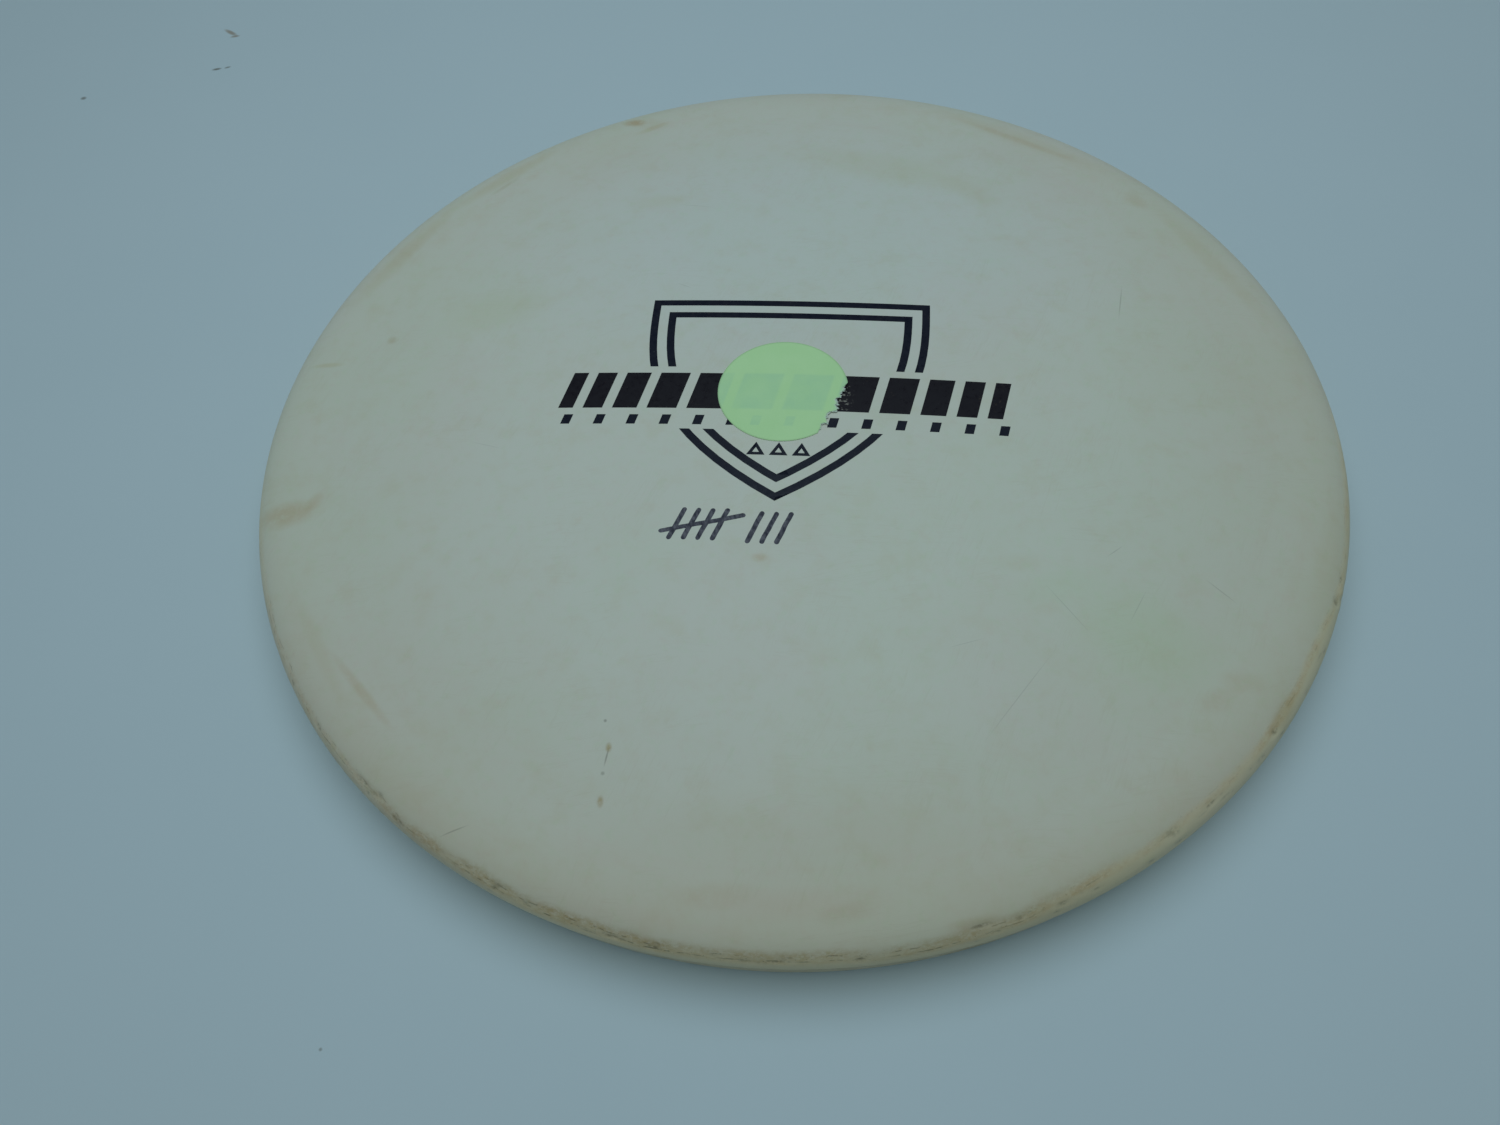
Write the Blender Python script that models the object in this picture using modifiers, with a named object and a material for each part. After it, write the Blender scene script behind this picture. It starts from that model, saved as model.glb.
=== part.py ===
"""A golf disc: one plastic moulding with a foil stamp, a torn paper dot and marker tally strokes.

Metres, +Z up. The origin is the centre of the ring that the disc rests on. The disc lies top
side up, and the stamp on its plate reads upwards along +Y, but for a small turn.
"""

import math

import bmesh
import bpy
from mathutils import Matrix, Vector

MM = 0.001

# The moulding, as a turned profile of radius and height.
DISC_RADIUS = 108.5 * MM
DISC_HEIGHT = 21.0 * MM
NOSE_HEIGHT = 10.0 * MM
PLATE_THICKNESS = 2.2 * MM
DOME_CURVE_RADIUS = 830 * MM
SHOULDER_RADIUS = 92.0 * MM
RIM_INNER_RADIUS = 97.3 * MM
BEAD_RADIUS = 1.75 * MM
BEAD_INSET = 3.4 * MM
BEAD_TOP_ANGLE = math.radians(55)
LAND_WIDTH = 4.8 * MM
RIM_FOOT_ROUND = 3.2 * MM
PLATE_FILLET = 2.7 * MM
GATE_RADIUS = 6.0 * MM
GATE_HEIGHT = 0.5 * MM
GATE_DRAFT = 0.5 * MM

# How far each end of a profile's curve keeps to the direction that it starts in.
SHOULDER_PULL = 0.55 * (DISC_RADIUS - SHOULDER_RADIUS)
NOSE_PULL_UP = 5.0 * MM
NOSE_PULL_DOWN = 2.5 * MM
BEAD_PULL = (0.15 * MM, 2.0 * MM)
FILLET_PULL_UP = 1.7 * MM
FILLET_PULL_IN = 1.6 * MM

# How finely the profile and the turned shape are cut.
DOME_STEPS = 8
SHOULDER_STEPS = 9
WALL_STEPS = 5
BEAD_STEPS = 8
ROUND_STEPS = 5
UNDERSIDE_STEPS = 7
TURN_STEPS = 96
TURN_WELD = 0.01 * MM
LAYER_WELD = 0.001 * MM

# The layers on the plate. Each clears what is under it by the same small gap.
GAP = 0.3 * MM
FOIL_THICKNESS = 0.10 * MM
LABEL_THICKNESS = 0.12 * MM
LAYER_GRID = 8.0 * MM

# The stamp, in its own frame: x to the right and y up.
STAMP_CENTRE = Vector((-1.5 * MM, 0.3 * MM, 0.0))
STAMP_TURN = math.radians(-4.9)
SHIELD_TOP = 26.2 * MM
SHIELD_TIP = -25.9 * MM
SHIELD_HALF_WIDTH = 29.0 * MM
SHIELD_FULLNESS = 3
SHIELD_SIDE_STEPS = 18
SHIELD_STROKE = 1.6 * MM
SHIELD_LINE_PITCH = 3.6 * MM
SHIELD_GAP = (-9.2 * MM, 7.0 * MM)
BAR_WIDTHS = [3.0 * MM, 4.0 * MM, 5.0 * MM, 6.0 * MM, 7.0 * MM, 8.0 * MM]
BAR_GAP = 2.0 * MM
BAR_FOOT = -4.0 * MM
BAR_HEIGHT = 9.3 * MM
ITALIC_LEAN = math.tan(math.radians(12))
DASH_COUNT = 14
DASH_SIZE = (1.8 * MM, 2.4 * MM)
DASH_ROW_HALF = 43.0 * MM
DASH_ROW_HEIGHT = -6.9 * MM
TRIANGLE_COUNT = 3
TRIANGLE_SIDE = 3.6 * MM
TRIANGLE_STROKE = 0.65 * MM
TRIANGLE_PITCH = 4.4 * MM
TRIANGLE_ROW_HEIGHT = -14.2 * MM

# The marker strokes, in the stamp's frame.
STROKE_WIDTH = 0.95 * MM
STROKE_RISE = Vector((2.3 * MM, 6.2 * MM, 0.0))
STROKE_PITCH = 2.7 * MM
TALLY_UPRIGHTS = 4
TALLY_START = Vector((-19.0 * MM, -34.6 * MM, 0.0))
TALLY_SLASH = (Vector((-20.6 * MM, -33.2 * MM, 0.0)), Vector((-5.6 * MM, -29.4 * MM, 0.0)))
LOOSE_START = Vector((-4.4 * MM, -35.0 * MM, 0.0))
LOOSE_COUNT = 3
SLASH_EXTRA = 0.02 * MM
PEN_END_STEPS = 6

# The dot label, in the disc's frame. Part of its edge is torn back.
LABEL_CENTRE = Vector((-1.5 * MM, 1.4 * MM, 0.0))
LABEL_RADIUS = 13.0 * MM
LABEL_POINTS = 120
TEAR_MIDDLE = math.radians(-27)
TEAR_HALF_ANGLE = math.radians(33)
TEAR_ONSET = 3.0
TEAR_DEPTH = 1.7 * MM
TEAR_RAGGED = 0.45 * MM
TEAR_WAVES = (17, 41)
TEAR_FINE_SHARE = 0.6
TEAR_FINE_SHIFT = 1.0

# Each material's colour, roughness and metallic value.
CREAM_PLASTIC = ((0.79, 0.76, 0.62), 0.45, 0.0)
BLACK_FOIL = ((0.012, 0.013, 0.024), 0.35, 0.0)
GREEN_PAPER = ((0.61, 0.92, 0.47), 0.75, 0.0)
MARKER_INK = ((0.045, 0.045, 0.06), 0.6, 0.0)


def clear_scene():
    for thing in list(bpy.data.objects):
        bpy.data.objects.remove(thing, do_unlink=True)


def new_collection(name):
    group = bpy.data.collections.new(name)
    bpy.context.scene.collection.children.link(group)
    return group


def new_material(name, finish):
    colour, roughness, metallic = finish
    material = bpy.data.materials.new(name)
    material.use_nodes = True
    shader = material.node_tree.nodes["Principled BSDF"]
    shader.inputs["Base Color"].default_value = (*colour, 1.0)
    shader.inputs["Roughness"].default_value = roughness
    shader.inputs["Metallic"].default_value = metallic
    return material


def dome_height(radius):
    """Height of the plate's upper face, a shallow bowl of parabolic section."""
    return DISC_HEIGHT - radius * radius / (2 * DOME_CURVE_RADIUS)


def dome_slope(radius):
    return -radius / DOME_CURVE_RADIUS


def evenly(start, end, steps):
    """steps + 1 numbers from start to end."""
    return [start + (end - start) * i / steps for i in range(steps + 1)]


def bezier(start, pull_start, pull_end, end, steps):
    """Points on a cubic curve, without its first point."""
    points = []
    for t in evenly(0.0, 1.0, steps)[1:]:
        s = 1.0 - t
        weights = (s**3, 3 * s * s * t, 3 * s * t * t, t**3)
        corners = (start, pull_start, pull_end, end)
        points.append(tuple(sum(w * c[axis] for w, c in zip(weights, corners)) for axis in (0, 1)))
    return points


def arc(centre, radius, start_angle, end_angle, steps):
    """Points on an arc in the profile's plane, without its first point."""
    angles = evenly(start_angle, end_angle, steps)[1:]
    return [(centre[0] + radius * math.cos(a), centre[1] + radius * math.sin(a)) for a in angles]


def disc_profile():
    """Radius and height from the plate's top centre, round the rim, to its underside's centre."""
    points = [(r, dome_height(r)) for r in evenly(0.0, SHOULDER_RADIUS, DOME_STEPS)]

    # Shoulder: leaves the dome at its slope and stands upright at the nose.
    nose = (DISC_RADIUS, NOSE_HEIGHT)
    leave = (
        SHOULDER_RADIUS + SHOULDER_PULL,
        dome_height(SHOULDER_RADIUS) + dome_slope(SHOULDER_RADIUS) * SHOULDER_PULL,
    )
    above_nose = (DISC_RADIUS, NOSE_HEIGHT + NOSE_PULL_UP)
    points += bezier(points[-1], leave, above_nose, nose, SHOULDER_STEPS)

    # Outer wall: draws in below the nose, down to the bead.
    bead = (DISC_RADIUS - BEAD_INSET, BEAD_RADIUS)
    bead_top = (
        bead[0] + BEAD_RADIUS * math.cos(BEAD_TOP_ANGLE),
        bead[1] + BEAD_RADIUS * math.sin(BEAD_TOP_ANGLE),
    )
    below_nose = (DISC_RADIUS, NOSE_HEIGHT - NOSE_PULL_DOWN)
    above_bead = (bead_top[0] + BEAD_PULL[0], bead_top[1] + BEAD_PULL[1])
    points += bezier(nose, below_nose, above_bead, bead_top, WALL_STEPS)
    points += arc(bead, BEAD_RADIUS, BEAD_TOP_ANGLE, -math.pi / 2, BEAD_STEPS)

    # Foot: a flat land, then a round into the inner wall.
    land_inner = bead[0] - LAND_WIDTH
    points.append((land_inner, 0.0))
    foot_centre = (land_inner, RIM_FOOT_ROUND)
    points += arc(foot_centre, RIM_FOOT_ROUND, -math.pi / 2, -math.pi, ROUND_STEPS)

    # Inner wall and the fillet under the plate.
    fillet_end = RIM_INNER_RADIUS - PLATE_FILLET
    under_end = dome_height(fillet_end) - PLATE_THICKNESS
    wall_top = (RIM_INNER_RADIUS, under_end - PLATE_FILLET)
    points.append(wall_top)
    above_wall = (RIM_INNER_RADIUS, wall_top[1] + FILLET_PULL_UP)
    outside_end = (fillet_end + FILLET_PULL_IN, under_end + dome_slope(fillet_end) * FILLET_PULL_IN)
    points += bezier(wall_top, above_wall, outside_end, (fillet_end, under_end), ROUND_STEPS)

    # Underside of the plate, with the low round boss where the plastic was let in.
    under = evenly(fillet_end, GATE_RADIUS, UNDERSIDE_STEPS)
    points += [(r, dome_height(r) - PLATE_THICKNESS) for r in under[1:]]
    boss = points[-1][1] - GATE_HEIGHT
    points += [(GATE_RADIUS - GATE_DRAFT, boss), (GATE_RADIUS / 2, boss), (0.0, boss)]
    return points


def make_moulding(group, material):
    mesh = bpy.data.meshes.new("moulded_disc")
    points = [(r, 0.0, z) for r, z in disc_profile()]
    mesh.from_pydata(points, [(i, i + 1) for i in range(len(points) - 1)], [])
    disc = bpy.data.objects.new("moulded_disc", mesh)
    group.objects.link(disc)
    turn = disc.modifiers.new("turn", "SCREW")
    turn.axis = "Z"
    turn.steps = TURN_STEPS
    turn.render_steps = TURN_STEPS
    turn.use_merge_vertices = True
    turn.merge_threshold = TURN_WELD
    turn.use_smooth_shade = True
    mesh.materials.append(material)


def flat_mesh(name, outlines, thickness):
    """A flat plate of the outlines, about z = 0. An outline inside another is a hole."""
    curve = bpy.data.curves.new(name, "CURVE")
    curve.dimensions = "2D"
    curve.fill_mode = "BOTH"
    curve.extrude = thickness / 2
    curve.resolution_u = 1
    curve.render_resolution_u = 1
    for outline in outlines:
        spline = curve.splines.new("POLY")
        spline.points.add(len(outline) - 1)
        for point, place in zip(spline.points, outline):
            point.co = (place[0], place[1], 0.0, 1.0)
        spline.use_cyclic_u = True
    holder = bpy.data.objects.new(name, curve)
    bpy.context.scene.collection.objects.link(holder)
    evaluated = holder.evaluated_get(bpy.context.evaluated_depsgraph_get())
    mesh = bpy.data.meshes.new_from_object(evaluated)
    bpy.data.objects.remove(holder, do_unlink=True)
    bpy.data.curves.remove(curve)

    work = bmesh.new()
    work.from_mesh(mesh)
    bmesh.ops.remove_doubles(work, verts=work.verts, dist=LAYER_WELD)
    bmesh.ops.recalc_face_normals(work, faces=work.faces)
    if work.calc_volume(signed=True) < 0.0:
        bmesh.ops.reverse_faces(work, faces=work.faces)
    work.to_mesh(mesh)
    work.free()
    return mesh


def lay_on_dome(mesh, place, base_gap, thickness):
    """Moves a flat plate by place, then bends it over the dome, base_gap above it."""
    work = bmesh.new()
    work.from_mesh(mesh)
    bmesh.ops.transform(work, matrix=place, verts=work.verts)
    for axis in (0, 1):
        places = [vert.co[axis] for vert in work.verts]
        line = math.ceil(min(places) / LAYER_GRID) * LAYER_GRID
        while line < max(places):
            cut = Vector((0.0, 0.0, 0.0))
            cut[axis] = line
            across = Vector((0.0, 0.0, 0.0))
            across[axis] = 1.0
            everything = work.verts[:] + work.edges[:] + work.faces[:]
            bmesh.ops.bisect_plane(
                work, geom=everything, plane_co=cut, plane_no=across, dist=LAYER_WELD / 10
            )
            line += LAYER_GRID
    bmesh.ops.triangulate(work, faces=work.faces)
    for vert in work.verts:
        vert.co.z += dome_height(vert.co.xy.length) + base_gap + thickness / 2
    work.to_mesh(mesh)
    work.free()


def make_layer(group, material, name, outlines, place, base_gap, thickness):
    """One thin piece on the plate, such as an island of foil."""
    mesh = flat_mesh(name, outlines, thickness)
    lay_on_dome(mesh, place, base_gap, thickness)
    mesh.name = name
    mesh.materials.append(material)
    group.objects.link(bpy.data.objects.new(name, mesh))


def stamp_place():
    return Matrix.Translation(STAMP_CENTRE) @ Matrix.Rotation(STAMP_TURN, 4, "Z")


def shield_side(height):
    """A point on the shield's right edge: upright at the top, drawn in to the tip."""
    drop = (SHIELD_TOP - height) / (SHIELD_TOP - SHIELD_TIP)
    return Vector((SHIELD_HALF_WIDTH * (1.0 - drop**SHIELD_FULLNESS), height))


def shield_loop(inset):
    """The shield's outline moved inwards by inset, anticlockwise from the tip, with mitred corners."""
    right = [shield_side(height) for height in evenly(SHIELD_TIP, SHIELD_TOP, SHIELD_SIDE_STEPS)]
    left = [Vector((-point.x, point.y)) for point in reversed(right[1:])]
    loop = right + left
    moved = []
    for i, point in enumerate(loop):
        before = (point - loop[i - 1]).normalized()
        after = (loop[(i + 1) % len(loop)] - point).normalized()
        inwards = Vector((-before.y, before.x))
        middle = (inwards + Vector((-after.y, after.x))).normalized()
        moved.append(point + middle * (inset / middle.dot(inwards)))
    return moved


def level_point(start, end, height):
    """Where the line from start to end passes a height."""
    return start.lerp(end, (height - start.y) / (end.y - start.y))


def run_beyond(loop, height, side):
    """The loop's stretch above the height (side 1) or below it (side -1), its ends cut level."""
    beyond = [side * (point.y - height) > 0.0 for point in loop]
    first = next(i for i in range(len(loop)) if beyond[i] and not beyond[i - 1])
    run = [level_point(loop[first - 1], loop[first], height)]
    i = first
    while beyond[i % len(loop)]:
        run.append(loop[i % len(loop)])
        i += 1
    run.append(level_point(run[-1], loop[i % len(loop)], height))
    return run


def shield_line(inset, height, side):
    """Outline of one line of the shield, beyond a height."""
    outer = run_beyond(shield_loop(inset), height, side)
    inner = run_beyond(shield_loop(inset + SHIELD_STROKE), height, side)
    return outer + inner[::-1]


def leaning_bar(left, foot, width, height):
    lean = height * ITALIC_LEAN
    top = foot + height
    return [(left, foot), (left + width, foot), (left + width + lean, top), (left + lean, top)]


def triangle(centre, side):
    """Corners of an upright triangle with equal sides."""
    reach = side / math.sqrt(3)
    corners = [math.radians(90 + 120 * i) for i in range(3)]
    return [(centre[0] + reach * math.cos(a), centre[1] + reach * math.sin(a)) for a in corners]


def make_stamp(group, foil):
    place = stamp_place()

    def stamp(name, *outlines):
        make_layer(group, foil, name, outlines, place, GAP, FOIL_THICKNESS)

    # The shield, two lines all round, is left open where the row of bars crosses it.
    open_from, open_to = SHIELD_GAP
    for line, inset in (("outer", 0.0), ("inner", SHIELD_LINE_PITCH)):
        stamp(f"foil_shield_top_{line}", shield_line(inset, open_to, 1))
        stamp(f"foil_shield_tip_{line}", shield_line(inset, open_from, -1))

    # Bold bars, widest in the middle, the same on both sides.
    widths = BAR_WIDTHS + BAR_WIDTHS[::-1]
    row_width = sum(widths) + BAR_GAP * (len(widths) - 1)
    left = -row_width / 2 - BAR_HEIGHT * ITALIC_LEAN / 2
    for number, width in enumerate(widths, 1):
        stamp(f"foil_bar_{number:02d}", leaning_bar(left, BAR_FOOT, width, BAR_HEIGHT))
        left += width + BAR_GAP

    # A row of short, spaced dashes, which lean as the bars do.
    dash_width, dash_height = DASH_SIZE
    foot = DASH_ROW_HEIGHT - dash_height / 2
    for number, middle in enumerate(evenly(-DASH_ROW_HALF, DASH_ROW_HALF, DASH_COUNT - 1), 1):
        dash = leaning_bar(middle - dash_width / 2, foot, dash_width, dash_height)
        stamp(f"foil_dash_{number:02d}", dash)

    # Three outlined triangles. Each hole keeps the stroke's width all round.
    hole_side = TRIANGLE_SIDE - 2 * math.sqrt(3) * TRIANGLE_STROKE
    for number in range(TRIANGLE_COUNT):
        middle = ((number - (TRIANGLE_COUNT - 1) / 2) * TRIANGLE_PITCH, TRIANGLE_ROW_HEIGHT)
        outlines = triangle(middle, TRIANGLE_SIDE), triangle(middle, hole_side)
        stamp(f"foil_triangle_{number + 1}", *outlines)


def marker_outline(start, end):
    """Outline of a straight pen stroke with round ends."""
    along = (end - start).normalized()
    heading = math.atan2(along.y, along.x)
    reach = STROKE_WIDTH / 2
    points = []
    for middle, first in ((end, heading - math.pi / 2), (start, heading + math.pi / 2)):
        for angle in evenly(first, first + math.pi, PEN_END_STEPS):
            points.append((middle.x + reach * math.cos(angle), middle.y + reach * math.sin(angle)))
    return points


def make_tally_five(group, ink):
    """The upright strokes and the slash through them, joined as one solid."""
    starts = [TALLY_START + Vector((i * STROKE_PITCH, 0.0, 0.0)) for i in range(TALLY_UPRIGHTS)]
    uprights = [marker_outline(start, start + STROKE_RISE) for start in starts]
    mesh = flat_mesh("marker_tally_five", uprights, FOIL_THICKNESS)
    piece = bpy.data.objects.new("marker_tally_five", mesh)
    group.objects.link(piece)

    # The slash is a hair thicker, so that no two faces lie in one plane where they cross.
    slash_outline = marker_outline(*TALLY_SLASH)
    slash_mesh = flat_mesh("tally_slash", [slash_outline], FOIL_THICKNESS + SLASH_EXTRA)
    slash = bpy.data.objects.new("tally_slash", slash_mesh)
    group.objects.link(slash)
    join = piece.modifiers.new("join", "BOOLEAN")
    join.operation = "UNION"
    join.solver = "EXACT"
    join.object = slash
    evaluated = piece.evaluated_get(bpy.context.evaluated_depsgraph_get())
    joined = bpy.data.meshes.new_from_object(evaluated)
    piece.modifiers.clear()
    piece.data = joined
    bpy.data.objects.remove(slash, do_unlink=True)
    bpy.data.meshes.remove(mesh)
    bpy.data.meshes.remove(slash_mesh)

    lay_on_dome(joined, stamp_place(), GAP, FOIL_THICKNESS + SLASH_EXTRA)
    joined.name = "marker_tally_five"
    joined.materials.clear()
    joined.materials.append(ink)


def make_marker_strokes(group, ink):
    make_tally_five(group, ink)
    for number in range(LOOSE_COUNT):
        start = LOOSE_START + Vector((number * STROKE_PITCH, 0.0, 0.0))
        outline = marker_outline(start, start + STROKE_RISE)
        name = f"marker_stroke_{number + 1}"
        make_layer(group, ink, name, [outline], stamp_place(), GAP, FOIL_THICKNESS)


def label_radius(angle):
    """The label's radius in a direction: round, but for the bite that was torn off its edge."""
    away = abs(math.remainder(angle - TEAR_MIDDLE, math.tau)) / TEAR_HALF_ANGLE
    if away >= 1.0:
        return LABEL_RADIUS
    bite = min(1.0, TEAR_ONSET * (1.0 - away))
    coarse, fine = TEAR_WAVES
    ragged = math.sin(coarse * angle) + TEAR_FINE_SHARE * math.sin(fine * angle + TEAR_FINE_SHIFT)
    return LABEL_RADIUS - bite * (TEAR_DEPTH + TEAR_RAGGED * ragged)


def make_label(group, paper):
    angles = [math.tau * i / LABEL_POINTS for i in range(LABEL_POINTS)]
    outline = [(label_radius(a) * math.cos(a), label_radius(a) * math.sin(a)) for a in angles]
    above_foil = GAP + FOIL_THICKNESS + GAP
    place = Matrix.Translation(LABEL_CENTRE)
    make_layer(group, paper, "dot_label", [outline], place, above_foil, LABEL_THICKNESS)


def main():
    clear_scene()
    group = new_collection("golf_disc")
    make_moulding(group, new_material("cream_plastic", CREAM_PLASTIC))
    make_stamp(group, new_material("black_foil", BLACK_FOIL))
    make_marker_strokes(group, new_material("marker_ink", MARKER_INK))
    make_label(group, new_material("green_paper", GREEN_PAPER))


main()
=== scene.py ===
"""A worn golf disc, top side up on a pale table.

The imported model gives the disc's size, the foil's outlines and where everything sits. This
script makes the fine surfaces: the turned moulding with its nicks, foil and ink lying on the
dome, the torn paper dot, and the procedural materials. Metres, +Z up.
"""
import contextlib
import math
import random

import bmesh
import bpy
import numpy as np
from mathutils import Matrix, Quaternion, Vector, noise


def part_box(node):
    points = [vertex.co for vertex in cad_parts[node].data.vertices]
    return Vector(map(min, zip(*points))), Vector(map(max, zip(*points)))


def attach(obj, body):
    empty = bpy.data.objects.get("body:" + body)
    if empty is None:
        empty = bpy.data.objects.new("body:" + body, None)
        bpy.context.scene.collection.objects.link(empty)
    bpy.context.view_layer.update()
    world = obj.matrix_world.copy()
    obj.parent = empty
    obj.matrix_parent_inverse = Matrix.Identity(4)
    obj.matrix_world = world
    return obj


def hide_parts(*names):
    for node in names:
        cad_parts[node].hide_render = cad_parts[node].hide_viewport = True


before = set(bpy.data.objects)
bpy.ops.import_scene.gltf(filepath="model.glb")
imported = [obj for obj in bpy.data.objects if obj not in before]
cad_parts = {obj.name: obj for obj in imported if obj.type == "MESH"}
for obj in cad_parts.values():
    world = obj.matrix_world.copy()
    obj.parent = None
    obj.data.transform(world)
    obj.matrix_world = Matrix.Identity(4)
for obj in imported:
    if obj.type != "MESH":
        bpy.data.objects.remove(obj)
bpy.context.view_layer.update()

MM = 0.001

# The moulding's profile, as in the CAD.
DISC_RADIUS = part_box("moulded_disc")[1].x
DISC_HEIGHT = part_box("moulded_disc")[1].z
NOSE_HEIGHT = 10.0 * MM
PLATE_THICKNESS = 2.2 * MM
DOME_CURVE_RADIUS = 830 * MM
SHOULDER_RADIUS = 92.0 * MM
RIM_INNER_RADIUS = 97.3 * MM
BEAD_RADIUS = 1.75 * MM
BEAD_INSET = 3.4 * MM
BEAD_TOP_ANGLE = math.radians(55)
LAND_WIDTH = 4.8 * MM
RIM_FOOT_ROUND = 3.2 * MM
PLATE_FILLET = 2.7 * MM
GATE_RADIUS = 6.0 * MM
GATE_HEIGHT = 0.5 * MM
GATE_DRAFT = 0.5 * MM

# How far each end of a profile's curve keeps to the direction that it starts in, as in the CAD.
SHOULDER_PULL = 0.55 * (DISC_RADIUS - SHOULDER_RADIUS)
NOSE_PULL_UP = 5.0 * MM
NOSE_PULL_DOWN = 2.5 * MM
BEAD_PULL = (0.15 * MM, 2.0 * MM)
FILLET_PULL_UP = 1.7 * MM
FILLET_PULL_IN = 1.6 * MM

# How many steps the turned mesh has round the axis, at the rim and nearer the middle.
RIM_STEPS = 1080
HALF_STEPS = RIM_STEPS // 2
QUARTER_STEPS = RIM_STEPS // 4
CENTRE_STEPS = RIM_STEPS // 24

# Stretches of the dome in the turned mesh: first and last radius, gaps between rings, steps round.
FILLET_END = RIM_INNER_RADIUS - PLATE_FILLET
GATE_FOOT = GATE_RADIUS + 0.4 * MM
TOP_STRETCHES = (
    (2 * MM, 11 * MM, 3, CENTRE_STEPS),
    (13 * MM, 41 * MM, 10, QUARTER_STEPS),
    (43 * MM, 79 * MM, 12, HALF_STEPS),
    (81 * MM, SHOULDER_RADIUS, 6, RIM_STEPS),
)
UNDERSIDE_STRETCHES = (
    (FILLET_END - 3 * MM, 50 * MM, 14, HALF_STEPS),
    (47 * MM, 14 * MM, 10, QUARTER_STEPS),
    (11 * MM, GATE_FOOT, 4, CENTRE_STEPS * 2),
)

# Gaps between the rings of each curve.
SHOULDER_GAPS = 28
WALL_GAPS = 12
BEAD_GAPS = 9
FOOT_GAPS = 8
FILLET_GAPS = 8
GATE_GAPS = 5

# The inner wall is a little hollow. The gate's end is flat, with a small pit: radius and depth.
WALL_HOLLOW = 0.05 * MM
GATE_END = ((4.0 * MM, 0.0), (1.6 * MM, 0.0), (1.2 * MM, 0.15 * MM))
GATE_PIT_DEPTH = 0.2 * MM

# The larger nicks: azimuth in degrees, then in millimetres the distance from the nose along the
# profile, half length, half width and depth. The raised one is a burr.
NICKS = (
    (-25.7, -3.0, 0.8, 0.8, 0.45),
    (-24.3, -2.6, 0.7, 0.8, -0.32),
    (-23.0, -3.2, 0.8, 0.4, 0.25),
    (-75.4, -3.8, 1.9, 0.3, 0.22),
    (-42.0, -3.3, 0.8, 0.5, 0.30),
    (-56.5, -4.0, 2.2, 0.3, 0.20),
    (-85.8, -1.7, 0.7, 0.5, 0.35),
    (-92.5, -2.0, 2.0, 0.3, 0.22),
    (-103.0, -1.8, 1.2, 0.4, 0.28),
    (-106.5, -1.9, 1.8, 0.3, 0.25),
    (-118.0, -2.1, 0.8, 0.4, 0.25),
    (-129.5, -2.5, 2.0, 0.3, 0.25),
    (-134.5, -3.4, 1.8, 0.3, 0.20),
    (-142.5, -2.8, 0.9, 0.4, 0.22),
)

# The small random nicks, in the same units. Most lie on the worn side, in a narrower band.
SMALL_NICKS = 120
NICK_SEED = 11
SHARE_ON_WORN_SIDE = 0.62
WORN_AZIMUTHS = (-150, -20)
ALL_AZIMUTHS = (-180, 180)
WORN_MEAN_AND_SPREAD = (-2.0, 0.9)
OTHER_MEAN_AND_SPREAD = (-1.2, 2.0)
NICK_LENGTHS = (0.4, 1.9)
NICK_WIDTHS = (0.25, 0.45)
NICK_DEPTHS = (0.04, 0.16)
ELSEWHERE_DEPTH_SHARE = 0.7

# A nick ends at a few times its size. A burr runs along each of its long sides. One that is as
# deep as DIRTY_DEPTH, or deeper, is full of dirt.
NICK_REACH = 4
BURR_PLACE = 1.7
BURR_HEIGHT = 0.18
DIRTY_DEPTH = 0.2 * MM

# Layers on the plate.
STAMP_CENTRE = Vector((-1.5 * MM, 0.3 * MM, 0.0))
STAMP_TURN = math.radians(-4.9)
FOIL_LIFT = 0.008 * MM
FOIL_THICKNESS = 0.010 * MM
LABEL_CENTRE = Vector((-1.5 * MM, 1.4 * MM, 0.0))
LABEL_RADIUS = 13.0 * MM
LABEL_LIFT = 0.03 * MM
LABEL_THICKNESS = 0.09 * MM
TEAR_MIDDLE = math.radians(-27)
TEAR_HALF_ANGLE = math.radians(33)
TEAR_DEPTH = 1.7 * MM

# How sheets are cut and joined. A face whose normal rises less than TOP_FACE isn't a sheet's top.
# The noise that moves the ink's edges has a frequency per metre.
WELD_DISTANCE = 1e-6
CUT_EXACTNESS = 1e-7
SLIVER_AREA = 1e-12
TOP_FACE = 0.7
FOIL_GRID = 2.0 * MM
INK_GRID = 0.3 * MM
INK_WANDER = 0.10 * MM
WANDER_FREQUENCY = 420.0
WANDER_SEED = 5

# The label's torn edge. A wave is a count round the label, a shift and a size. A noise is its
# seed, frequency, roughness, step between octaves and how many octaves.
TEAR_SHARPNESS = 3.0
RAG_WAVES = ((17, 0.0, 1.0), (41, 1.0, 0.6))
EDGE_NOISE = (3.0, 9.0, 0.8, 2.2, 5)
FIBRE_NOISE = (110.0, 22.0, 0.7, 2.3, 4)
BROAD_RAG = 0.45 * MM
FINE_RAG = 0.55 * MM
CORE_INSET = 0.8 * MM
FIBRE_LEAST = -0.3 * MM
FIBRE_MEAN = 0.25
FIBRE_SPREAD = 0.55
FACE_THINNER = 0.03 * MM
CORE_THICKNESS = 0.025 * MM

# The label's sheets: their grid, crowded towards the edge, then their ripples (frequency per
# metre), the curl by the tear, and how far the torn edge is bare.
LABEL_SPOKES = 900
LABEL_ROWS = 16
ROW_CROWDING = 0.6
RIPPLE_HEIGHT = 0.012 * MM
RIPPLE_FREQUENCY = 350.0
CURL_HEIGHT = 0.22 * MM
CURL_REACH = 1.2 * MM
BARE_REACH = 0.35 * MM

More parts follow.
